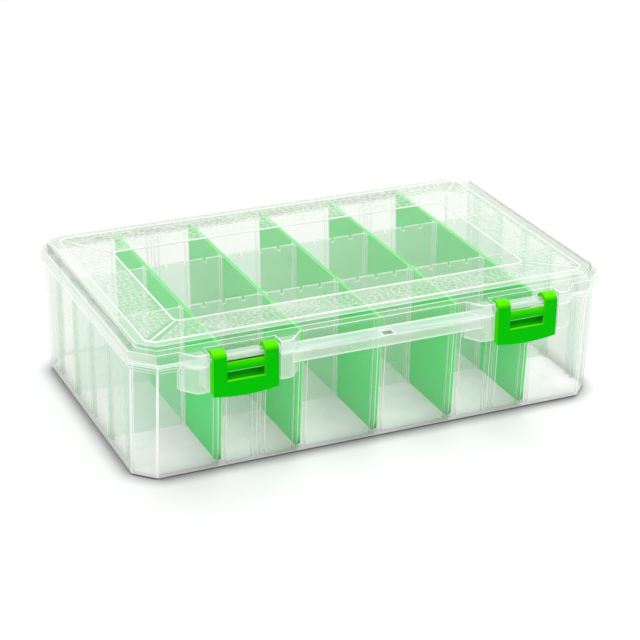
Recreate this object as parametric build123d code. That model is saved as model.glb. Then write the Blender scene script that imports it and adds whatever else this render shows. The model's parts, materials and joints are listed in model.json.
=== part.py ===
from build123d import *
import os

# A clear fishing tackle box with a hinged lid, two snap latches and loose dividers.
# Millimetres. +X runs along the box, the latches face -Y and +Z is up.
# The origin is on the resting face, under the middle of the lid's outline.

# Lid
lid_length = 355.0
lid_width = 223.0
lid_corner = 15.0  # 45 degree cut at each corner
lid_wall = 1.8
rim_bottom = 86.0
rim_top = 94.7
crown_length = 342.0  # raised part of the lid
crown_width = 209.2
crown_corner = 10.8
crown_top = 98.1
crown_band = 7.0  # flat band around the dished panel
dish_corner = 5.0
dish_floor = 95.4
plateau_length = 266.8
plateau_width = 131.8
plateau_corner = 3.5

# Tray
tray_length = 350.8
foot_width = 207.8
foot_corner = 13.6
foot_edge = 1.2  # small bevel around the foot
tray_width = 217.0  # outer width at the flange
tray_corner = 14.1
tray_wall = 2.0
tray_floor = 2.2
collar_length = 350.2  # upstand that the lid's rim closes over
collar_top = 91.4
flange_length = 357.0
flange_width = 225.0
flange_corner = 15.6
flange_top = 85.8
flange_edge = 83.9
flange_root = 80.0

# Ribs that hold the dividers
rib_width = 3.0
rib_depth = 3.0
rib_slot = 2.8
rib_top = 90.4
spare_slot = 88.5  # empty slot behind each latch
side_slots = (-75.0, -37.5, 0.0, 37.5, 75.0)

# Dividers
divider_pitch = 58.25
divider_count = 5
divider_thick = 2.4
divider_top = 92.4
divider_gap = 0.4
divider_round = 6.0
cross_rows = {"front": -37.5, "rear": 37.5}
cross_thick = 2.0
cross_top = 92.0
cross_gap = 0.2
cross_flange_width = 8.0
cross_flange_thick = 1.3
notch_width = 2.2
notch_depth = 3.0

# Front of the box: brackets beside each latch and the ledge between them
latch_x = 105.0
bracket_front = -122.0
bracket_bottom = 67.0
bracket_wall = 1.8
pocket_half = 25.1  # half the space between the two brackets of a latch
bracket_face = 8.7  # flat front of a bracket
bracket_slant = 8.6  # how far a bracket's slanted side runs along the box
bracket_round = 6.0
ledge_front = -122.6
ledge_half = latch_x - pocket_half - bracket_face
ledge_bottom = 78.0
tie_hole_width = 8.0
tie_hole_back = -112.8

# Latch
pivot_y = -117.5
pivot_z = 89.0
barrel_radius = 2.9
barrel_clearance = 0.06
web_thick = 2.0
latch_half = 23.3
arm_width = 9.9
latch_radius = 5.7  # outside of the hook around the barrel
latch_front = pivot_y - latch_radius
latch_plate = 2.4
latch_bottom = 63.3
latch_bow = 2.0
latch_skirt = 1.8
latch_back = -113.6
crossbar_top = 86.3
crossbar_slope = 3.4
window_low = 73.2
window_high = 80.2
catch_top = 76.9
catch_front = -117.6
catch_thick = 2.0
catch_half = 19.5
keeper_half = 20.4
keeper_low = 77.4
keeper_high = 80.0
keeper_nose = -118.2

# Hinge
hinge_x = 105.0
hinge_y = 116.2
hinge_z = 87.5
knuckle_radius = 3.4
knuckle_length = 10.0
knuckle_gap = 0.4
knuckle_count = 5
pin_radius = 1.2
pin_fixed_clearance = 0.02
pin_running_clearance = 0.05

bay_count = divider_count + 1
divider_places = [divider_pitch * (i - (divider_count - 1) / 2) for i in range(divider_count)]
inner_end = tray_length / 2 - tray_wall


def octagon(length, width, corner, height):
    """Rectangle with its corners cut at 45 degrees, lying flat at a height."""
    x = length / 2
    y = width / 2
    points = [
        (x - corner, -y),
        (x, corner - y),
        (x, y - corner),
        (x - corner, y),
        (corner - x, y),
        (-x, y - corner),
        (-x, corner - y),
        (corner - x, -y),
    ]
    return Pos(0, 0, height) * make_face(Polyline(*points, close=True))


def slab(length, width, corner, low, high):
    """Straight-sided block on an octagon."""
    return extrude(octagon(length, width, corner, low), high - low)


def tapered(low_face, high_face):
    """Flat-sided block from one octagon to another above it."""
    return loft([low_face, high_face], ruled=True)


def block(x_range, y_range, z_range):
    """Plain box between two limits along each axis."""
    size = [high - low for low, high in (x_range, y_range, z_range)]
    centre = [(high + low) / 2 for low, high in (x_range, y_range, z_range)]
    return Pos(*centre) * Box(*size)


def side_profile(points, x_low, x_high):
    """Outline given in Y and Z, carried along X."""
    face = Plane.YZ * make_face(Polyline(*points, close=True))
    return Pos(x_low, 0, 0) * extrude(face, x_high - x_low)


def rod(x_low, x_high, y, z, radius):
    """Round bar along X."""
    bar = Rot(0, 90, 0) * Cylinder(radius, x_high - x_low)
    return Pos((x_low + x_high) / 2, y, z) * bar


def wall_y(z):
    """Outer face of the front and rear walls, which lean outwards as they rise."""
    return (foot_width + (tray_width - foot_width) * z / rim_bottom) / 2


def bracket_plan(side, direction, inset):
    """Plan of one bracket; direction is away from the latch, inset shrinks it for the hollow."""
    near = latch_x + direction * (pocket_half + inset)
    far = latch_x + direction * (pocket_half + bracket_face - inset / 2)
    root = latch_x + direction * (pocket_half + bracket_face + bracket_slant - inset * 1.3)
    front = bracket_front + inset
    points = [(near, -100), (near, front), (far, front), (root, -lid_width / 2), (root, -100)]
    face = make_face(Polyline(*[(side * x, y) for x, y in points], close=True))
    nose = face.vertices().sort_by_distance((side * far, front, 0))[0]
    return fillet(nose, bracket_round - inset)


def brackets(low, high, inset):
    """Four blocks, two beside each latch, between two heights; inset shrinks them for the hollows."""
    shapes = Part()
    for side in (-1, 1):
        for direction in (-1, 1):
            shapes += Pos(0, 0, low) * extrude(bracket_plan(side, direction, inset), high - low)
    return shapes


def knuckles(first):
    """Every second knuckle of both hinges, starting from the given one."""
    shapes = Part()
    step = knuckle_length + knuckle_gap
    for side in (-1, 1):
        for i in range(first, knuckle_count, 2):
            centre = side * hinge_x + step * (i - (knuckle_count - 1) / 2)
            ends = (centre - knuckle_length / 2, centre + knuckle_length / 2)
            barrel = rod(*ends, hinge_y, hinge_z, knuckle_radius)
            shapes += barrel + side_profile(knuckle_arm(first), *ends)
    return shapes


def knuckle_arm(first):
    """Side outline of the arm that joins a knuckle to the tray (0) or to the lid (1)."""
    if first == 0:
        back = hinge_y + knuckle_radius * 0.5
        under = hinge_z - knuckle_radius * 0.86
        return [(110, flange_top), (hinge_y, flange_top), (back, under), (110, flange_root)]
    over = hinge_z + knuckle_radius
    return [(110.4, rim_bottom + 0.2), (hinge_y, rim_bottom + 0.2), (hinge_y, over), (110.4, over + 2)]


def pin_hole(clearance):
    """Bore through both hinges."""
    holes = Part()
    for side in (-1, 1):
        ends = (side * hinge_x - 40, side * hinge_x + 40)
        holes += rod(*ends, hinge_y, hinge_z, pin_radius + clearance)
    return holes


def tray_ribs():
    """Pairs of upright ribs that the dividers slide between."""
    ribs = Part()
    offset_x = (rib_slot + rib_width) / 2
    for centre in divider_places + [-spare_slot, spare_slot]:
        for x in (centre - offset_x, centre + offset_x):
            for end in (-1, 1):
                outline = [
                    (end * (wall_y(tray_floor) - 1), tray_floor - 0.5),
                    (end * (wall_y(tray_floor) - tray_wall - rib_depth), tray_floor - 0.5),
                    (end * (wall_y(rib_top) - tray_wall - rib_depth), rib_top),
                    (end * (wall_y(rib_top) - 1), rib_top),
                ]
                ribs += side_profile(outline, x - rib_width / 2, x + rib_width / 2)
    for centre in side_slots:
        for y in (centre - offset_x, centre + offset_x):
            y_range = (y - rib_width / 2, y + rib_width / 2)
            for end in (-1, 1):
                x_range = sorted((end * (inner_end - rib_depth), end * (inner_end + 1)))
                ribs += block(x_range, y_range, (tray_floor - 0.5, rib_top))
    return ribs


def tray_front():
    """Brackets and finger ledge that stand out from the front wall under the flange."""
    ledge = block((-ledge_half, ledge_half), (ledge_front, -100), (ledge_bottom, flange_top))
    inner_x = ledge_half - bracket_wall
    inner_y = (ledge_front + bracket_wall, -100)
    ledge -= block((-inner_x, inner_x), inner_y, (ledge_bottom, flange_edge))
    front = ledge + brackets(bracket_bottom, flange_top, 0)
    front -= brackets(bracket_bottom, flange_edge, bracket_wall)
    for side in (-1, 1):
        keeper_x = sorted(side * (latch_x + k * keeper_half) for k in (-1, 1))
        front += block(keeper_x, (keeper_nose, -100), (keeper_low, keeper_high))
    return front


def latch_pocket(side):
    """Space in front of the tray's collar that a latch needs."""
    x_range = sorted(side * (latch_x + k * pocket_half) for k in (-1, 1))
    return block(x_range, (-130, -lid_width / 2 - 0.3), (keeper_high, rim_bottom))


def make_tray():
    """Open tray with leaning end walls, flange, collar, ribs, front ledge and hinge knuckles."""
    foot = octagon(tray_length - 2 * foot_edge, foot_width - 2 * foot_edge, foot_corner, 0)
    knee = octagon(tray_length, foot_width, foot_corner, foot_edge)
    brim = octagon(tray_length, tray_width, tray_corner, rim_bottom)
    body = tapered(foot, knee) + tapered(knee, brim) + tray_front()
    under = octagon(tray_length, tray_width, tray_corner, flange_root)
    edge = octagon(flange_length, flange_width, flange_corner, flange_edge)
    body += tapered(under, edge)
    body += slab(flange_length, flange_width, flange_corner, flange_edge, flange_top)
    body += slab(collar_length, tray_width, tray_corner, flange_edge, collar_top)
    inner_length = tray_length - 2 * tray_wall
    inner_foot = 2 * (wall_y(tray_floor) - tray_wall)
    inner_brim = 2 * (wall_y(rim_bottom) - tray_wall)
    shrink = tray_wall * 0.586  # a 45 degree corner keeps its wall when the outline is offset
    low = octagon(inner_length, inner_foot, foot_corner - shrink, tray_floor)
    high = octagon(inner_length, inner_brim, tray_corner - shrink, rim_bottom)
    cavity = tapered(low, high)
    cavity += slab(inner_length, inner_brim, tray_corner - shrink, rim_bottom, collar_top + 1)
    body += knuckles(0)
    body -= cavity
    for side in (-1, 1):
        body -= latch_pocket(side)
    tie_half = tie_hole_width / 2
    tie_y = (ledge_front + bracket_wall, tie_hole_back)
    body -= block((-tie_half, tie_half), tie_y, (ledge_bottom, rim_bottom))
    body += tray_ribs()
    return body - pin_hole(pin_fixed_clearance)


def dish(drop):
    """Space above the sunken panel of the lid, lowered by the given amount."""
    length = crown_length - 2 * crown_band
    width = crown_width - 2 * crown_band
    wide = octagon(length, width, dish_corner, crown_top - drop)
    narrow = octagon(plateau_length, plateau_width, plateau_corner, dish_floor - drop)
    above = slab(length, width, dish_corner, crown_top - drop, crown_top + 1)
    return tapered(narrow, wide) + above


def latch_barrel(side):
    """Bar between two brackets of the lid, with a web behind it between the latch's arms."""
    ends = sorted(side * (latch_x + k * (pocket_half + 0.5)) for k in (-1, 1))
    web_half = latch_half - arm_width - 0.6
    web_x = sorted(side * (latch_x + k * web_half) for k in (-1, 1))
    web_z = (pivot_z - web_thick / 2, pivot_z + web_thick / 2)
    web = block(web_x, (pivot_y, 1 - lid_width / 2), web_z)
    return rod(*ends, pivot_y, pivot_z, barrel_radius) + web


def make_lid():
    """Shallow lid with a raised crown, a dished panel, latch brackets and hinge knuckles."""
    shell = slab(lid_length, lid_width, lid_corner, rim_bottom, rim_top)
    shell += slab(crown_length, crown_width, crown_corner, rim_top, crown_top)
    shell += brackets(rim_bottom, rim_top, 0) - brackets(rim_bottom, rim_top - lid_wall, bracket_wall)
    shell += knuckles(1)
    shell -= dish(0)
    thin = 2 * lid_wall
    shrink = lid_wall * 0.586
    inside = slab(lid_length - thin, lid_width - thin, lid_corner - shrink, rim_bottom, rim_top - lid_wall)
    inside += slab(
        crown_length - thin,
        crown_width - thin,
        crown_corner - shrink,
        rim_top - lid_wall,
        crown_top - lid_wall,
    )
    shell -= inside - dish(lid_wall)
    for side in (-1, 1):
        shell += latch_barrel(side)
    return shell - pin_hole(pin_running_clearance)


def latch_outline():
    """Front view of the latch: a plate with a bowed lower edge, a gap between arms and a window."""
    low_left = (-latch_half, latch_bottom)
    low_right = (latch_half, latch_bottom)
    high_right = (latch_half, pivot_z)
    high_left = (-latch_half, pivot_z)
    edges = [
        ThreePointArc(low_left, (0, latch_bottom - latch_bow), low_right),
        Line(low_right, high_right),
        Line(high_right, high_left),
        Line(high_left, low_left),
    ]
    inner = latch_half - arm_width
    gap = Pos(0, (crossbar_top + pivot_z + 1) / 2) * Rectangle(2 * inner, pivot_z + 1 - crossbar_top)
    window = Pos(0, (window_low + window_high) / 2) * Rectangle(2 * inner, window_high - window_low)
    return make_face(edges) - gap - window


def latch_hook(low, high):
    """Hook of one arm, open downwards so that it snaps over the barrel."""
    ring = rod(low, high, pivot_y, pivot_z, latch_radius)
    mouth_y = (pivot_y - latch_radius + latch_plate, pivot_y + latch_radius + 1)
    ring -= block((low - 1, high + 1), mouth_y, (pivot_z - latch_radius - 1, pivot_z - 1.6))
    return ring


def make_latch(side):
    """Snap latch: front plate, side skirts, two hooks and a stepped catch that reaches under the keeper."""
    plane = Plane(origin=(0, latch_front + latch_plate, 0), x_dir=(1, 0, 0), z_dir=(0, -1, 0))
    latch = extrude(plane * latch_outline(), latch_plate)
    inner = latch_half - arm_width
    latch -= side_profile(
        [
            (latch_front - 1, crossbar_top - crossbar_slope),
            (latch_front, crossbar_top - crossbar_slope),
            (latch_front + 1.7, crossbar_top + 0.1),
            (latch_front - 1, crossbar_top + 0.1),
        ],
        -inner,
        inner,
    )
    plate_back = latch_front + latch_plate
    back_y = (plate_back, latch_back)
    for edge in (-1, 1):
        skirt_x = sorted((edge * (latch_half - latch_skirt), edge * latch_half))
        latch += block(skirt_x, back_y, (latch_bottom + 1, pivot_z - 2.5))
        arm_x = sorted((edge * inner, edge * latch_half))
        latch += latch_hook(*arm_x)
    latch += side_profile(
        [
            (plate_back - 0.2, window_low - catch_thick),
            (plate_back - 0.2, window_low),
            (catch_front, window_low + 0.6),
            (catch_front + 0.8, catch_top),
            (latch_back, catch_top),
            (latch_back, window_low - catch_thick),
        ],
        -catch_half,
        catch_half,
    )
    bore = rod(-latch_half - 1, latch_half + 1, pivot_y, pivot_z, barrel_radius + barrel_clearance)
    return Pos(side * latch_x, 0, 0) * (latch - bore)


def make_divider(x):
    """Long divider from the front wall to the rear wall."""
    low = wall_y(tray_floor) - tray_wall - divider_gap
    high = wall_y(divider_top) - tray_wall - divider_gap
    corners = [(-low, tray_floor), (low, tray_floor), (high, divider_top), (-high, divider_top)]
    face = make_face(Polyline(*corners, close=True))
    feet = face.vertices().sort_by(Axis.Y)[:2]
    face = fillet(feet, divider_round)
    return Pos(x, 0, 0) * extrude(Plane.YZ * face, divider_thick / 2, both=True)


def make_cross_divider(bay, y):
    """Short divider across one bay, notched along its top, with a flange at each end on a long divider."""
    edges = [-inner_end] + divider_places + [inner_end]
    low_is_wall = bay == 0
    high_is_wall = bay == bay_count - 1
    low = edges[bay] + cross_gap + (0 if low_is_wall else divider_thick / 2)
    high = edges[bay + 1] - cross_gap - (0 if high_is_wall else divider_thick / 2)
    plate_y = (y - cross_thick / 2, y + cross_thick / 2)
    plate = block((low, high), plate_y, (tray_floor, cross_top))
    for quarter in (1, 2, 3):
        x = edges[bay] + (edges[bay + 1] - edges[bay]) * quarter / 4
        notch_x = (x - notch_width / 2, x + notch_width / 2)
        plate -= block(notch_x, (y - 5, y + 5), (cross_top - notch_depth, cross_top + 1))
    flange_y = (y - cross_flange_width / 2, y + cross_flange_width / 2)
    if not low_is_wall:
        plate += block((low, low + cross_flange_thick), flange_y, (tray_floor, cross_top))
    if not high_is_wall:
        plate += block((high - cross_flange_thick, high), flange_y, (tray_floor, cross_top))
    return plate


def make_pin(side):
    """Steel pin of one hinge."""
    half = (knuckle_count * knuckle_length + (knuckle_count - 1) * knuckle_gap) / 2
    ends = (side * hinge_x - half, side * hinge_x + half)
    return rod(*ends, hinge_y, hinge_z, pin_radius)


def make_parts():
    """Every separate piece of the box, by name."""
    parts = {"tray": make_tray(), "lid": make_lid()}
    for name, side in (("left", -1), ("right", 1)):
        parts[f"latch_{name}"] = make_latch(side)
        parts[f"hinge_pin_{name}"] = make_pin(side)
    for i, x in enumerate(divider_places):
        parts[f"divider_{i + 1}"] = make_divider(x)
    for row, y in cross_rows.items():
        for bay in range(bay_count):
            parts[f"cross_divider_{row}_{bay + 1}"] = make_cross_divider(bay, y)
    return parts


os.makedirs("parts", exist_ok=True)
for node, shape in make_parts().items():
    export_step(shape, f"parts/{node}.step")
    print(node, "solids", len(shape.solids()), "volume", round(shape.volume))
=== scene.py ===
import json
import math

import bmesh
import bpy
import numpy as np
from mathutils import Matrix, Vector


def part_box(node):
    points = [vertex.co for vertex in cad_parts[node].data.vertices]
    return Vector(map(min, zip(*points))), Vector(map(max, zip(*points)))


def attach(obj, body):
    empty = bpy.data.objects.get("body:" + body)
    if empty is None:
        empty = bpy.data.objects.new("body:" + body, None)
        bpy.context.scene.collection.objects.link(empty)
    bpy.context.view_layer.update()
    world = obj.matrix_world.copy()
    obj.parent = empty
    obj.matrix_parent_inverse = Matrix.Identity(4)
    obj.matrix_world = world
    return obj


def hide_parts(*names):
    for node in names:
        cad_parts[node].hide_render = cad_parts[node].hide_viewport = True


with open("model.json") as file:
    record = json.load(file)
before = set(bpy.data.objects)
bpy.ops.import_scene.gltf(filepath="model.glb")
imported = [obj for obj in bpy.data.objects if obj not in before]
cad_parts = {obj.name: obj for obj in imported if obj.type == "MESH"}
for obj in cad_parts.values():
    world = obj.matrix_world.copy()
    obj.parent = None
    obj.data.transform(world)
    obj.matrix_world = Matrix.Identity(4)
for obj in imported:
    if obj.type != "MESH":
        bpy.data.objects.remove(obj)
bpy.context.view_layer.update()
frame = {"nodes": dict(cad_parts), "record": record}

# where the camera stands, in metres, how it is turned, in degrees, and its lens, in millimetres
view = {
    "stand": (-0.5425, -1.2046, 0.6405),
    "heading": -24.36,
    "tilt": 24.24,
    "roll": 0.67,
    "lens": 111.4,
    "sensor": 36,
    "farthest": 20,
}


def placeCamera():
    heading = math.radians(view["heading"])
    tilt = math.radians(view["tilt"])
    roll = math.radians(view["roll"])
    back = Vector((math.sin(heading) * math.cos(tilt), -math.cos(heading) * math.cos(tilt), math.sin(tilt)))
    level = Vector((0, 0, 1)).cross(back).normalized()
    upright = back.cross(level)
    right = math.cos(roll) * level + math.sin(roll) * upright
    up = back.cross(right)
    data = bpy.data.cameras.new("camera")
    data.lens = view["lens"]
    data.sensor_width = view["sensor"]
    data.clip_end = view["farthest"]
    camera = bpy.data.objects.new("camera", data)
    turn = Matrix((right, up, back)).transposed().to_4x4()
    camera.matrix_world = Matrix.Translation(view["stand"]) @ turn
    bpy.context.scene.collection.objects.link(camera)
    bpy.context.scene.camera = camera


# plain studio, in metres; within the reach given, the floor's colour darkens near the box as a painted
# contact shadow, bounces how often light may bounce and clearBounces how many clear faces it may pass
studio = {
    "worldStrength": 0.86,
    "worldColour": (1.0, 1.0, 1.0),
    "floorSize": 8.0,
    "floorHeight": -0.0003,
    "floorColour": (0.86, 0.86, 0.86),
    "floorRoughness": 0.7,
    "paintedShadowReach": 0.013,
    "bounces": 16,
    "clearBounces": 48,
}

# name: place, aim, size, power, colour
lamps = {
    "softBox": ((0.45, 0.3, 1.5), (0, 0, 0.05), 1.1, 13, (1, 1, 1)),
    "fill": ((-1.2, -1.4, 1.2), (0, 0, 0.05), 1.0, 3, (1, 1, 1)),
}


def makeStudio():
    world = bpy.data.worlds.new("studio")
    bpy.context.scene.world = world
    world.use_nodes = True
    sky = world.node_tree.nodes["Background"]
    sky.inputs["Color"].default_value = (*studio["worldColour"], 1)
    sky.inputs["Strength"].default_value = studio["worldStrength"]
    half = studio["floorSize"] / 2
    mesh = bpy.data.meshes.new("floor")
    corners = [(-half, -half), (half, -half), (half, half), (-half, half)]
    mesh.from_pydata([(x, y, studio["floorHeight"]) for x, y in corners], [], [(0, 1, 2, 3)])
    floor = bpy.data.objects.new("floor", mesh)
    bpy.context.scene.collection.objects.link(floor)
    material, shader = newMaterial("floorPale")
    # painted contact shadow: ambient occlusion darkens the floor's colour near the box
    floorShadowPaint = material.node_tree.nodes.new("ShaderNodeAmbientOcclusion")
    floorShadowPaint.inputs["Color"].default_value = (*studio["floorColour"], 1)
    floorShadowPaint.inputs["Distance"].default_value = studio["paintedShadowReach"]
    material.node_tree.links.new(floorShadowPaint.outputs["Color"], shader.inputs["Base Color"])
    shader.inputs["Roughness"].default_value = studio["floorRoughness"]
    mesh.materials.append(material)
    for name, (place, aim, size, power, colour) in lamps.items():
        data = bpy.data.lights.new(name, "AREA")
        data.size = size
        data.energy = power
        data.color = colour
        lamp = bpy.data.objects.new(name, data)
        lamp.location = place
        lamp.rotation_euler = (Vector(place) - Vector(aim)).to_track_quat("Z", "Y").to_euler()
        bpy.context.scene.collection.objects.link(lamp)
    scene = bpy.context.scene
    scene.view_settings.view_transform = "Standard"
    scene.cycles.transparent_max_bounces = studio["clearBounces"]
    scene.cycles.max_bounces = studio["bounces"]


def newMaterial(name):
    material = bpy.data.materials.new(name)
    material.use_nodes = True
    return material, material.node_tree.nodes["Principled BSDF"]


# a socket gets a plain value, or a link where value is another node's output
def feed(tree, socket, value):
    if isinstance(value, bpy.types.NodeSocket):
        tree.links.new(value, socket)
    else:
        socket.default_value = value


def mathOf(tree, operation, *values):
    node = tree.nodes.new("ShaderNodeMath")
    node.operation = operation
    for socket, value in zip(node.inputs, values):
        feed(tree, socket, value)
    return node.outputs[0]


def multiply(tree, first, second):
    product = mathOf(tree, "MULTIPLY", first, second)
    product.node.use_clamp = True
    return product


# colour between first and second, second where share is 1
def mixOf(tree, share, first, second):
    node = tree.nodes.new("ShaderNodeMix")
    node.data_type = "RGBA"
    feed(tree, node.inputs[0], share)
    feed(tree, node.inputs[6], first)
    feed(tree, node.inputs[7], second)
    return node.outputs[2]


# low to high as value goes from begins to ends, and no further
def rangeOf(tree, value, low, high, begins=0.0, ends=1.0):
    node = tree.nodes.new("ShaderNodeMapRange")
    feed(tree, node.inputs["Value"], value)
    node.inputs["From Min"].default_value = begins
    node.inputs["From Max"].default_value = ends
    node.inputs["To Min"].default_value = low
    node.inputs["To Max"].default_value = high
    return node.outputs["Result"]


# orange peel, slow waves, faint flow marks and scuffs that every moulded piece has; a larger size
# is a finer pattern, and a small first number in a stretch draws it out along X
mouldFinish = {
    "peelSize": 1300,
    "peelShare": 0.12,
    "waveSize": 60,
    "bumpDepth": 0.0006,
    "flowSize": 22,
    "flowStretch": (0.35, 1, 1.6),
    "scuffSize": 420,
    "scuffStretch": (0.06, 1, 1),
    "scuffRange": (0.62, 0.74),
    "scuffRoughness": 0.25,
}


# moulded surface: height is fine noise times its share plus slow noise, and two stretched noises
# give the flow marks and the scuffs
def makeMouldGroup():
    group = bpy.data.node_groups.new("mouldFinish", "ShaderNodeTree")
    group.interface.new_socket("Bump", in_out="INPUT", socket_type="NodeSocketFloat")
    group.interface.new_socket("Normal", in_out="OUTPUT", socket_type="NodeSocketVector")
    group.interface.new_socket("Flow", in_out="OUTPUT", socket_type="NodeSocketFloat")
    group.interface.new_socket("Scuffs", in_out="OUTPUT", socket_type="NodeSocketFloat")
    entry = group.nodes.new("NodeGroupInput")
    leave = group.nodes.new("NodeGroupOutput")
    place = group.nodes.new("ShaderNodeTexCoord")

    def noise(size, detail, stretch=(1, 1, 1)):
        mapping = group.nodes.new("ShaderNodeMapping")
        mapping.inputs["Scale"].default_value = stretch
        group.links.new(place.outputs["Object"], mapping.inputs["Vector"])
        texture = group.nodes.new("ShaderNodeTexNoise")
        texture.inputs["Scale"].default_value = size
        texture.inputs["Detail"].default_value = detail
        group.links.new(mapping.outputs["Vector"], texture.inputs["Vector"])
        return texture.outputs["Fac"]

    peel = noise(mouldFinish["peelSize"], 1)
    wave = noise(mouldFinish["waveSize"], 1)
    bump = group.nodes.new("ShaderNodeBump")
    bump.inputs["Distance"].default_value = mouldFinish["bumpDepth"]
    feed(group, bump.inputs["Strength"], entry.outputs["Bump"])
    feed(group, bump.inputs["Height"], mathOf(group, "MULTIPLY_ADD", peel, mouldFinish["peelShare"], wave))
    scuffs = noise(mouldFinish["scuffSize"], 2, mouldFinish["scuffStretch"])
    feed(group, leave.inputs["Normal"], bump.outputs["Normal"])
    feed(group, leave.inputs["Flow"], noise(mouldFinish["flowSize"], 3, mouldFinish["flowStretch"]))
    feed(group, leave.inputs["Scuffs"], rangeOf(group, scuffs, 0.0, 1.0, *mouldFinish["scuffRange"]))
    return group


# pebbled panels of the lid, in metres; stretch and shift are how long the pebbles are and how far
# off their grid, groove how wide the grooves are, in cells, and how much paler the grooves are painted,
# a painted highlight for the light their borders refract
pebbles = {
    "cell": 0.0046,
    "stretch": 1.15,
    "shift": 0.4,
    "height": 0.0003,
    "groove": 0.5,
    "grooveHighlight": 0.4,
    "step": 0.0005,
    "margin": 0.0014,
    "sink": 0.00015,
    "lift": 0.00003,
    "seed": 1.7,
}

# see-through plastics, name: colour, tint that a face lets through, share of the light that it
# stops head on and at a glancing angle, roughness
plastics = {
    "outerWallPlastic": ((0.86, 0.86, 0.84), (0.98, 0.982, 0.977), 0.0, 0.36, 0.16),
    "endWallPlastic": ((0.83, 0.87, 0.79), (0.985, 0.99, 0.982), 0.14, 0.42, 0.18),
    "wallPlastic": ((0.84, 0.87, 0.83), (0.975, 0.982, 0.974), 0.0, 0.34, 0.16),
    "footPlastic": ((0.94, 0.88, 0.94), (0.9, 0.9, 0.9), 0.75, 0.8, 0.3),
    "floorPlastic": ((0.96, 0.90, 0.95), (0.96, 0.96, 0.96), 0.85, 0.9, 0.3),
    "ribFlankPlastic": ((0.40, 0.78, 0.62), (0.82, 0.95, 0.89), 0.2, 0.45, 0.2),
    "bracketPlastic": ((0.80, 0.88, 0.81), (0.955, 0.975, 0.957), 0.27, 0.48, 0.14),
    # painted highlights: rounded edges are paler and more opaque than their faces, those of the ribs less so
    "ribEdgeHighlightPlastic": ((0.88, 0.90, 0.86), (0.95, 0.96, 0.95), 0.35, 0.55, 0.2),
    "edgeHighlightPlastic": ((0.94, 0.95, 0.91), (0.985, 0.99, 0.985), 0.7, 0.9, 0.15),
    "ledgePlastic": ((0.78, 0.90, 0.88), (0.95, 0.97, 0.955), 0.36, 0.65, 0.12),
    "lidPlastic": ((0.74, 0.77, 0.72), (0.97, 0.976, 0.967), 0.045, 0.22, 0.1),
    "bandPlastic": ((0.80, 0.86, 0.79), (0.975, 0.982, 0.973), 0.14, 0.5, 0.12),
    "rimPlastic": ((0.80, 0.85, 0.77), (0.99, 0.993, 0.988), 0.3, 0.7, 0.12),
    "pebblePlastic": ((0.82, 0.86, 0.80), (0.985, 0.99, 0.985), 0.0, 0.12, 0.1),
    "crossPlastic": ((0.73, 0.99, 0.81), (0.94, 0.98, 0.955), 0.22, 0.42, 0.25),
}

# what they share: lightThrough is how much of the cover and tint is left off for light on its way
# in, glancing how many times over the tint counts edge on, and the foot keeps light back
clearFinish = {
    "lightThrough": 0.92,
    "blend": 0.35,
    "glancing": 4,
    "paler": 1.07,
    "bump": 0.1,
    "hazeSize": 30,
    "hazeRange": (0.75, 1.25),
    "footShade": (0.0, 0.0, 0.0),
    "footHeight": 0.013,
    "footShaded": ("outerWallPlastic", "endWallPlastic"),
}

# solid-coloured plastics, name: colour, colour of faces turned to the sky (a painted highlight),
# painted glow that stands in for light soaking through a thin wall, specular level
solids = {
    "greenDivider": ((0.01, 0.68, 0.11), (0.05, 0.72, 0.12), 0.14, 0.12),
    # painted highlight: the dividers' rounded edges are a paler lime and glow more than their faces
    "greenEdgeHighlight": ((0.27, 0.84, 0.08), (0.32, 0.88, 0.1), 0.22, 0.12),
    "greenLatch": ((0.0, 0.56, 0.0), (0.11, 0.81, 0.0), 0.0, 0.03),
    # painted shade: the catch seen through a latch's window is a darker green than the latch
    "greenRecessPaintedShade": ((0.0, 0.28, 0.0), (0.0, 0.34, 0.0), 0.0, 0.02),
}

# what they share: bounceShare is how far the greens go towards bounceColour for light they pass on
solidFinish = {
    "deeper": 0.93,
    "roughness": 0.48,
    "bump": 0.2,
    "bounceColour": (0.58, 0.66, 0.58),
    "bounceShare": 0.66,
}


# moulded look of one material: its base colour wanders between two tones along the flow marks
def placeMould(material, shader, colour, lightColour, roughness, bumpStrength):
    tree = material.node_tree
    mould = tree.nodes.new("ShaderNodeGroup")
    mould.node_tree = mouldGroup
    mould.inputs["Bump"].default_value = bumpStrength
    tones = mixOf(tree, mould.outputs["Flow"], (*colour, 1), (*lightColour, 1))
    scuffed = min(1.0, roughness + mouldFinish["scuffRoughness"])
    feed(tree, shader.inputs["Base Color"], tones)
    feed(tree, shader.inputs["Roughness"], rangeOf(tree, mould.outputs["Scuffs"], roughness, scuffed))
    feed(tree, shader.inputs["Normal"], mould.outputs["Normal"])
    return tones


# more cover where the pebbles meet, a painted highlight for the light their borders refract: the
# groove attribute is 1 in a groove and 0 on a pebble
def addGrooveHighlight(tree, hazy):
    groove = tree.nodes.new("ShaderNodeAttribute")
    groove.attribute_name = "groove"
    return mathOf(tree, "MULTIPLY_ADD", groove.outputs["Fac"], pebbles["grooveHighlight"], hazy)


# light on its way in: little of it is stopped, but less comes through low on the outer walls
def arrivingTint(tree, name, tint, through, place):
    thinned = tuple(c + (1 - c) * through for c in tint)
    if name not in clearFinish["footShaded"]:
        return (*thinned, 1)
    height = tree.nodes.new("ShaderNodeSeparateXYZ")
    tree.links.new(place, height.inputs["Vector"])
    rise = rangeOf(tree, height.outputs["Z"], 0.0, 1.0, 0.0, clearFinish["footHeight"])
    rise.node.interpolation_type = "SMOOTHSTEP"
    return mixOf(tree, rise, (*clearFinish["footShade"], 1), (*thinned, 1))


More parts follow.
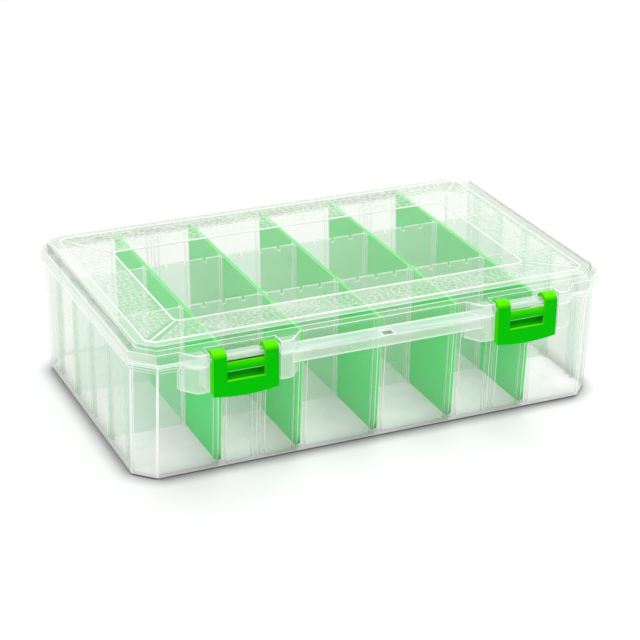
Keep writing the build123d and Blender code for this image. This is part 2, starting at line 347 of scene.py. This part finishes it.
# clear plastic without refraction: a tinted see-through part mixed with the moulded surface by
# cover, which grows towards glancing angles and wanders with the haze
def makePlastic(name):
    colour, tint, headOn, edgeOn, roughness = plastics[name]
    material, shader = newMaterial(name)
    tree = material.node_tree
    paler = tuple(min(1.0, c * clearFinish["paler"]) for c in colour)
    placeMould(material, shader, colour, paler, roughness, clearFinish["bump"])
    path = tree.nodes.new("ShaderNodeLightPath")
    incoming = mathOf(tree, "MAXIMUM", path.outputs["Is Shadow Ray"], path.outputs["Is Diffuse Ray"])
    weight = tree.nodes.new("ShaderNodeLayerWeight")
    weight.inputs["Blend"].default_value = clearFinish["blend"]
    facing = weight.outputs["Facing"]
    place = tree.nodes.new("ShaderNodeTexCoord").outputs["Object"]
    through = 0 if name == "footPlastic" else clearFinish["lightThrough"]
    glancing = tuple(c ** clearFinish["glancing"] for c in tint)
    seen = mixOf(tree, facing, (*tint, 1), (*glancing, 1))
    arriving = arrivingTint(tree, name, tint, through, place)
    clear = tree.nodes.new("ShaderNodeBsdfTransparent")
    tree.links.new(mixOf(tree, incoming, seen, arriving), clear.inputs["Color"])
    haze = tree.nodes.new("ShaderNodeTexNoise")
    haze.inputs["Scale"].default_value = clearFinish["hazeSize"]
    tree.links.new(place, haze.inputs["Vector"])
    spread = rangeOf(tree, haze.outputs["Fac"], *clearFinish["hazeRange"])
    hazy = multiply(tree, rangeOf(tree, facing, headOn, edgeOn), spread)
    if name == "pebblePlastic":
        hazy = addGrooveHighlight(tree, hazy)
    share = multiply(tree, hazy, rangeOf(tree, incoming, 1.0, 1 - through))
    both = tree.nodes.new("ShaderNodeMixShader")
    tree.links.new(share, both.inputs["Fac"])
    tree.links.new(clear.outputs["BSDF"], both.inputs[1])
    tree.links.new(shader.outputs["BSDF"], both.inputs[2])
    tree.links.new(both.outputs["Shader"], tree.nodes["Material Output"].inputs["Surface"])
    return material


# solid green: its tones go paler on faces turned to the sky, a painted highlight, it has a painted glow, and
# paler still for light it passes on
def makeSolid(name):
    colour, light, paintedGlow, specular = solids[name]
    material, shader = newMaterial(name)
    tree = material.node_tree
    shader.inputs["Specular IOR Level"].default_value = specular
    # painted glow: the greens give off light of their own, standing in for light that soaks through them
    shader.inputs["Emission Strength"].default_value = paintedGlow
    deeper = tuple(c * solidFinish["deeper"] for c in colour)
    tones = placeMould(material, shader, deeper, colour, solidFinish["roughness"], solidFinish["bump"])
    # painted highlight: faces turned to the sky go towards the paler colour
    skyHighlightShare = tree.nodes.new("ShaderNodeAttribute")
    skyHighlightShare.attribute_name = "paintedSkyHighlight"
    lit = mixOf(tree, skyHighlightShare.outputs["Fac"], tones, (*light, 1))
    path = tree.nodes.new("ShaderNodeLightPath")
    share = mathOf(tree, "MULTIPLY", path.outputs["Is Diffuse Ray"], solidFinish["bounceShare"])
    passed = mixOf(tree, share, lit, (*solidFinish["bounceColour"], 1))
    tree.links.new(passed, shader.inputs["Base Color"])
    tree.links.new(passed, shader.inputs["Emission Color"])
    return material


# steel of the hinge pins
pinFinish = {
    "colour": (0.55, 0.56, 0.58),
    "polished": (0.75, 0.76, 0.78),
    "roughness": 0.28,
    "bump": 0.1,
}


def makeSteel():
    material, shader = newMaterial("pinSteel")
    shader.inputs["Metallic"].default_value = 1.0
    colours = (pinFinish["colour"], pinFinish["polished"])
    placeMould(material, shader, *colours, pinFinish["roughness"], pinFinish["bump"])
    return material


mouldGroup = makeMouldGroup()
materials = {name: makePlastic(name) for name in plastics} | {name: makeSolid(name) for name in solids}
materials["pinSteel"] = makeSteel()
bodyOf = {node: body for body, nodes in frame["record"]["behaviour"]["bodies"].items() for node in nodes}


def applyModifiers(piece):
    graph = bpy.context.evaluated_depsgraph_get()
    mesh = bpy.data.meshes.new_from_object(piece.evaluated_get(graph), depsgraph=graph)
    piece.modifiers.clear()
    piece.data = mesh


# centre and normal of every face, as two arrays
def facePlaces(mesh):
    centre = np.empty(len(mesh.polygons) * 3)
    normal = np.empty(len(mesh.polygons) * 3)
    mesh.polygons.foreach_get("center", centre)
    mesh.polygons.foreach_get("normal", normal)
    return centre.reshape(-1, 3), normal.reshape(-1, 3)


# number of every face's finish: 0 is the piece's own, 1 that of its rounded edges, which mostly carries a
# painted highlight
def faceFinishes(mesh):
    index = np.empty(len(mesh.polygons), dtype=np.int32)
    mesh.polygons.foreach_get("material_index", index)
    return index


# the chosen faces get another finish, as one more material slot
def finishFaces(piece, finish, chosen):
    mesh = piece.data
    index = faceFinishes(mesh)
    index[chosen] = len(mesh.materials)
    mesh.materials.append(materials[finish])
    mesh.polygons.foreach_set("material_index", index)


# finish of a piece's faces, finish of its edges, a painted highlight on all but the latch, how round they
# are, in metres, and in how many steps; the tray's width is that of its upright corners, and its other edges
# have slim of it
edges = {
    "tray": ("wallPlastic", "edgeHighlightPlastic", 0.001, 3),
    "lid": ("lidPlastic", "edgeHighlightPlastic", 0.0004, 2),
    "cross_divider": ("crossPlastic", "edgeHighlightPlastic", 0.0003, 2),
    "divider": ("greenDivider", "greenEdgeHighlight", 0.0003, 2),
    "latch": ("greenLatch", "greenLatch", 0.0005, 3),
}

# in metres and degrees: an edge is sharp from sharpAngle on, and faces within flatAngle are merged
edgeRules = {
    "slim": 0.4,
    "sharpAngle": 30,
    "shadeAngle": 24,
    "flatAngle": 0.6,
    "weld": 2e-6,
    "uprightLength": 0.04,
    "uprightShare": 0.95,
}
cornerPlace = (0.15, 0.09)  # the tray's corners lie beyond this


# bevel weight: 1 on the long upright edges of the corners, slim on other sharp edges, else 0
def weighEdges(shape):
    weight = shape.edges.layers.float.new("bevel_weight_edge")
    for edge in shape.edges:
        if len(edge.link_faces) != 2 or edge.calc_face_angle() < math.radians(edgeRules["sharpAngle"]):
            continue
        along = edge.verts[1].co - edge.verts[0].co
        middle = (edge.verts[0].co + edge.verts[1].co) / 2
        upright = abs(along.z) > max(edgeRules["uprightLength"], edgeRules["uprightShare"] * along.length)
        atCorner = abs(middle.x) > cornerPlace[0] and abs(middle.y) > cornerPlace[1]
        edge[weight] = 1.0 if upright and atCorner else edgeRules["slim"]


# a CAD node's shape with its loose triangles merged and its sharp edges rounded
def softEdged(nodeName, kind):
    faceMaterial, edgeMaterial, width, segments = edges[kind]
    shape = bmesh.new()
    shape.from_mesh(frame["nodes"][nodeName].data)
    bmesh.ops.remove_doubles(shape, verts=shape.verts, dist=edgeRules["weld"])
    flat = math.radians(edgeRules["flatAngle"])
    bmesh.ops.dissolve_limit(shape, angle_limit=flat, verts=shape.verts, edges=shape.edges)
    mesh = bpy.data.meshes.new(nodeName + "_moulded")
    if kind == "tray":
        weighEdges(shape)
    shape.to_mesh(mesh)
    shape.free()
    mesh.materials.append(materials[faceMaterial])
    mesh.materials.append(materials[edgeMaterial])
    mesh.polygons.foreach_set("material_index", np.zeros(len(mesh.polygons), dtype=np.int32))
    piece = bpy.data.objects.new(nodeName + "_moulded", mesh)
    bpy.context.scene.collection.objects.link(piece)
    bevel = piece.modifiers.new("edges", "BEVEL")
    bevel.width = width
    bevel.segments = segments
    bevel.limit_method = "WEIGHT" if kind == "tray" else "ANGLE"
    bevel.angle_limit = math.radians(edgeRules["sharpAngle"])
    bevel.use_clamp_overlap = False
    bevel.material = 1  # the second slot, the edges' own finish, mostly a painted highlight
    applyModifiers(piece)
    piece.data.set_sharp_from_angle(angle=math.radians(edgeRules["shadeAngle"]))
    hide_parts(nodeName)
    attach(piece, bodyOf[nodeName])
    return piece


# how squarely a face has to look along an axis to count as level, flat, a front or an end, and
# how little it may look up to count as upright or as turned away from above
squareness = {"level": 0.999, "flat": 0.98, "front": 0.9, "end": 0.6, "upright": 0.3, "away": 0.2}

# places on the tray, in metres: lean is how far the walls lean out for each metre up, and reach
# how near a face has to be to a level to lie on it
trayPlaces = {
    "foot": 0.0013,
    "floorTop": 0.0022,
    "flangeTop": 0.0858,
    "collarAbove": 0.0006,
    "innerHalf": (0.1733, 0.1015),
    "lean": 0.05,
    "endRib": 0.0032,
    "reach": 0.0002,
}
frontPlaces = {"wallFront": -0.1117, "latchX": 0.105, "pocketHalf": 0.0245}

# hole for a tie in the middle of the front ledge, in metres
tieHole = {"half": 0.0045, "front": -0.1215, "back": -0.1122, "middle": 0.08485, "reach": 0.0011}


# true for faces that stand out in front of the wall, but not for those in the latches' pockets
def onBrackets(centre):
    besideLatch = abs(abs(centre[:, 0]) - frontPlaces["latchX"]) > frontPlaces["pocketHalf"]
    return (centre[:, 1] < frontPlaces["wallFront"]) & besideLatch


def finishTray(piece):
    centre, normal = facePlaces(piece.data)
    index = faceFinishes(piece.data)
    x, y, z = centre.T
    flat = normal[:, 2] > squareness["flat"]
    onFloor = flat & (abs(z - trayPlaces["floorTop"]) < trayPlaces["reach"])
    onFlange = flat & (abs(z - trayPlaces["flangeTop"]) < trayPlaces["reach"])
    halfX, halfY = trayPlaces["innerHalf"]
    inside = (abs(x) < halfX) & (abs(y) < halfY + trayPlaces["lean"] * z)
    onEnds = abs(normal[:, 0]) > squareness["end"]
    finishFaces(piece, "outerWallPlastic", ~inside & ~onEnds & (index == 0))
    finishFaces(piece, "endWallPlastic", ~inside & onEnds & (index == 0))
    finishFaces(piece, "bracketPlastic", onBrackets(centre) & (index == 0))
    finishFaces(piece, "footPlastic", z < trayPlaces["foot"])
    finishFaces(piece, "floorPlastic", onFloor)
    finishFaces(piece, "ledgePlastic", onFlange)
    # painted highlight: the tie hole's upright sides take the near-white edge finish
    inHole = (abs(x) < tieHole["half"]) & (y < tieHole["back"]) & (y > tieHole["front"])
    upright = (abs(normal[:, 2]) < squareness["upright"]) & (abs(z - tieHole["middle"]) < tieHole["reach"])
    finishFaces(piece, "edgeHighlightPlastic", inHole & upright)
    atCorner = (abs(x) > cornerPlace[0]) & (abs(y) > cornerPlace[1])
    # the ribs' inner edges take the fainter painted highlight
    finishFaces(piece, "ribEdgeHighlightPlastic", inside & ~atCorner & (index == 1))
    alongEnds = (halfX > abs(x)) & (abs(x) > halfX - trayPlaces["endRib"])
    onEndRibs = alongEnds & (normal[:, 1] < -squareness["front"])
    finishFaces(piece, "ribFlankPlastic", onEndRibs & (index == 0))
    # the collar's edges lose their painted highlight and go back to the wall's finish
    onCollar = (z > trayPlaces["flangeTop"] + trayPlaces["collarAbove"]) & (y > frontPlaces["wallFront"])
    finishFaces(piece, "wallPlastic", onCollar & (index == 1))


# sunken panel of the lid, in metres: half sizes and corner cuts of its outer and inner outline;
# the fold lines lie lineSink of their radius below the surface
dish = {
    "outer": (0.164, 0.0976, 0.005),
    "inner": (0.1334, 0.0659, 0.0035),
    "drop": 0.0027,
    "lineRadius": 0.0007,
    "lineSink": 0.3,
}

# places on the lid, in metres: above rimBottom its downward edges are hidden, and the band is the
# level strip round the panel, within bandReach of the top
lidPlaces = {"rimBottom": 0.0866, "endBegins": 0.1665, "rearBegins": 0.102, "bandReach": 0.0003}


def finishLid(piece):
    centre, normal = facePlaces(piece.data)
    index = faceFinishes(piece.data)
    x, y, z = centre.T
    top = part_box("lid")[1][2]
    onBand = (normal[:, 2] > squareness["level"]) & (z > top - lidPlaces["bandReach"])
    # hidden downward edges of the lid lose their painted highlight and take the lid's finish
    hidden = (index == 1) & (normal[:, 2] < squareness["away"]) & (z > lidPlaces["rimBottom"])
    finishFaces(piece, "lidPlastic", hidden & ~onBrackets(centre))
    onRim = (abs(x) > lidPlaces["endBegins"]) | (y > lidPlaces["rearBegins"])
    finishFaces(piece, "rimPlastic", onRim & ((index == 0) | hidden))
    finishFaces(piece, "bracketPlastic", (y < frontPlaces["wallFront"]) & (index == 0))
    finishFaces(piece, "bandPlastic", onBand)


# a latch's window, in metres: its lowest and highest point above the resting face, how deep its
# plate is and its half width
window = {"low": 0.0725, "high": 0.0803, "plate": 0.0025, "half": 0.0198}

# painted highlight: how fast a latch goes pale as it turns to the sky, from where, and how much its -X side
# counts
paintedSkyHighlight = {"gain": 2.2, "start": 0.5, "side": 0.5}


# each vertex stores its share of painted highlight: gain times the larger of its normal's z and minus
# side times its x, less start, kept between 0 and 1
def paintSkyHighlight(piece):
    mesh = piece.data
    normal = np.empty(len(mesh.vertices) * 3)
    mesh.vertices.foreach_get("normal", normal)
    normal = normal.reshape(-1, 3)
    most = np.maximum(normal[:, 2], -paintedSkyHighlight["side"] * normal[:, 0])
    pale = np.clip(paintedSkyHighlight["gain"] * most - paintedSkyHighlight["start"], 0, 1)
    layer = mesh.attributes.new("paintedSkyHighlight", "FLOAT", "POINT")
    layer.data.foreach_set("value", pale.astype(np.float32))


def finishLatch(piece, nodeName):
    low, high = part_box(nodeName)
    centre = facePlaces(piece.data)[0]
    inWindow = (centre[:, 2] > window["low"]) & (centre[:, 2] < window["high"])
    behind = centre[:, 1] > low[1] + window["plate"]
    middle = abs(centre[:, 0] - (low[0] + high[0]) / 2) < window["half"]
    # painted shade: the catch's faces behind the window take the darker green
    finishFaces(piece, "greenRecessPaintedShade", inWindow & behind & middle)
    paintSkyHighlight(piece)


# corners of a rectangle with cut corners, counter-clockwise from above, the front's right one first
def octagon(halfX, halfY, cut, height):
    x = np.array([halfX - cut, halfX, halfX, halfX - cut, cut - halfX, -halfX, -halfX, cut - halfX])
    y = np.array([-halfY, cut - halfY, halfY - cut, halfY, halfY, halfY - cut, cut - halfY, -halfY])
    return np.stack([x, y, np.full(8, height)], axis=1)


# round line along a path: each ring is point + radius * (cos a * across + sin a * over), mitred
def tube(points, radius, closed, sides=8):
    count = len(points)
    ahead = np.roll(points, -1, axis=0) - points
    if not closed:
        ahead[-1] = ahead[-2]
    ahead /= np.linalg.norm(ahead, axis=1, keepdims=True)
    behind = np.roll(ahead, 1, axis=0)
    if not closed:
        behind[0] = ahead[0]
    along = ahead + behind
    along /= np.linalg.norm(along, axis=1, keepdims=True)
    across = np.cross(along, (0, 0, 1))
    across /= np.linalg.norm(across, axis=1, keepdims=True)
    over = np.cross(across, along)
    across /= np.sum(along * ahead, axis=1, keepdims=True)
    angle = np.arange(sides) * 2 * np.pi / sides
    rings = points[:, None] + radius * (
        np.cos(angle)[None, :, None] * across[:, None] + np.sin(angle)[None, :, None] * over[:, None]
    )
    ring = np.arange(count if closed else count - 1)
    a = (ring[:, None] * sides + np.arange(sides)[None]).ravel()
    b = (ring[:, None] * sides + (np.arange(sides)[None] + 1) % sides).ravel()
    total = count * sides
    quads = np.stack([a, (a + sides) % total, (b + sides) % total, b], axis=1)
    faces = quads.tolist()
    if not closed:
        faces.append(list(range(sides)))
        faces.append(list(range(total - 1, total - sides - 1, -1)))
    return rings.reshape(-1, 3), faces


def newPiece(name, vertices, faces, finish, body):
    mesh = bpy.data.meshes.new(name)
    mesh.from_pydata(vertices, [], faces)
    mesh.update()
    mesh.materials.append(materials[finish])
    piece = bpy.data.objects.new(name, mesh)
    bpy.context.scene.collection.objects.link(piece)
    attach(piece, body)
    return piece


# raised lines where the lid's dished panel folds, which carry painted highlights in the near-white edge
# finish: a tube along both outlines and the four hips between the middles of their cut corners
def outlinePieces():
    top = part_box("lid")[1][2]
    sink = dish["lineRadius"] * dish["lineSink"]
    outer = octagon(*dish["outer"], top - sink)
    inner = octagon(*dish["inner"], top - dish["drop"] - sink)
    paths = [(outer, True), (inner, True)]
    for corner in range(4):
        ends = [(o[2 * corner] + o[2 * corner + 1]) / 2 for o in (outer, inner)]
        paths.append((np.array(ends), False))
    vertices = []
    faces = []
    for points, closed in paths:
        ringPoints, ringFaces = tube(points, dish["lineRadius"], closed)
        start = sum(len(v) for v in vertices)
        faces += [[start + i for i in face] for face in ringFaces]
        vertices.append(ringPoints)
    places = np.concatenate(vertices).tolist()
    lines = newPiece("lid_fold_lines", places, faces, "edgeHighlightPlastic", "lid")
    lines.data.polygons.foreach_set("use_smooth", [True] * len(faces))


# large numbers that scatter the cells' centres, along X and across
scatter = {"along": (127.1, 311.7, 43758.5453), "across": (269.5, 183.3, 24634.6345)}


# shift of a cell's centre, the same on every run: the fraction of a large sine of the cell's place
def cellShift(column, row, seed, numbers):
    first, second, large = numbers
    return np.modf(np.sin(column * first + row * second + seed) * large)[0] * pebbles["shift"]


# distance to the border of the nearest cell: how much farther the second nearest of a grid of
# shifted cell centres is than the nearest
def cellBorder(x, y, seed):
    nearest = np.full(x.shape, np.inf)
    second = np.full(x.shape, np.inf)
    for i in (-1, 0, 1):
        for j in (-1, 0, 1):
            cx = np.floor(x) + i
            cy = np.floor(y) + j
            centreX = cx + 0.5 + cellShift(cx, cy, seed, scatter["along"])
            centreY = cy + 0.5 + cellShift(cx, cy, seed, scatter["across"])
            distance = np.hypot(centreX - x, centreY - y)
            second = np.minimum(second, np.maximum(nearest, distance))
            nearest = np.minimum(nearest, distance)
    return second - nearest


# pebbled skin on one sloping panel: a point is a blend of its four corners, raised along the normal
# by border * (2 - border), a rounded dome on each cell, which fades over two steps at the rim
def pebblePanel(name, outerEdge, innerEdge, seed):
    length = np.linalg.norm(outerEdge[1] - outerEdge[0])
    depth = np.linalg.norm(innerEdge.mean(axis=0) - outerEdge.mean(axis=0))
    across = int(length / pebbles["step"])
    down = int(depth / pebbles["step"])
    u, v = np.meshgrid(np.linspace(0, 1, across), np.linspace(0, 1, down))
    inset = pebbles["margin"] / depth
    blend = (inset + v * (1 - 2 * inset))[..., None]
    left = outerEdge[0] * (1 - blend) + innerEdge[0] * blend
    right = outerEdge[1] * (1 - blend) + innerEdge[1] * blend
    side = pebbles["margin"] / length
    share = (side + u * (1 - 2 * side))[..., None]
    points = left * (1 - share) + right * share
    runs = (outerEdge[1] - outerEdge[0]) / length
    slope = (innerEdge.mean(axis=0) - outerEdge.mean(axis=0)) / depth
    normal = np.cross(runs, slope)
    normal *= np.sign(normal[2])
    cellX = points @ runs / (pebbles["cell"] * pebbles["stretch"])
    cellY = points @ slope / pebbles["cell"]
    border = np.clip(cellBorder(cellX, cellY, seed) / pebbles["groove"], 0, 1)
    domes = border * (2 - border)
    rim = np.minimum(np.minimum(u, 1 - u) * length, np.minimum(v, 1 - v) * depth) / (2 * pebbles["step"])
    rise = np.clip(rim, 0, 1) * (pebbles["sink"] + pebbles["lift"] + pebbles["height"] * domes)
    points = points + (rise - pebbles["sink"])[..., None] * normal
    index = np.arange(across * down).reshape(down, across)
    quads = np.stack([index[:-1, :-1], index[:-1, 1:], index[1:, 1:], index[1:, :-1]], axis=-1).reshape(-1, 4)
    rimLoop = np.concatenate([index[0, :-1], index[:-1, -1], index[-1, :0:-1], index[:0:-1, 0]])
    if np.cross(runs, slope)[2] < 0:
        quads = quads[:, ::-1]
        rimLoop = rimLoop[::-1]
    faces = quads.tolist() + [rimLoop[::-1].tolist()]
    piece = newPiece(name, points.reshape(-1, 3).tolist(), faces, "pebblePlastic", "lid")
    layer = piece.data.attributes.new("groove", "FLOAT", "POINT")
    layer.data.foreach_set("value", (1 - domes).ravel().astype(np.float32))
    smooth = np.ones(len(faces), dtype=bool)
    smooth[-1] = False
    piece.data.polygons.foreach_set("use_smooth", smooth)


# the octagon's corners at the ends of each long side
panelCorners = {"front": (7, 0), "right": (1, 2), "rear": (3, 4), "left": (5, 6)}


def pebblePieces():
    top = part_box("lid")[1][2]
    outer = octagon(*dish["outer"], top)
    inner = octagon(*dish["inner"], top - dish["drop"])
    for name, ends in panelCorners.items():
        pick = list(ends)
        pebblePanel("lid_pebbles_" + name, outer[pick], inner[pick], ends[0] * pebbles["seed"])


placeCamera()
makeStudio()
print("studio is set")

finishTray(softEdged("tray", "tray"))
finishLid(softEdged("lid", "lid"))
for nodeName in sorted(frame["nodes"]):
    if nodeName.startswith("cross_divider"):
        softEdged(nodeName, "cross_divider")
    elif nodeName.startswith("divider"):
        softEdged(nodeName, "divider")
    elif nodeName.startswith("latch"):
        finishLatch(softEdged(nodeName, "latch"), nodeName)
    elif nodeName.startswith("hinge_pin"):
        frame["nodes"][nodeName].data.materials[0] = materials["pinSteel"]
print("moulded pieces are made")

outlinePieces()
pebblePieces()
print("lid panel is finished")
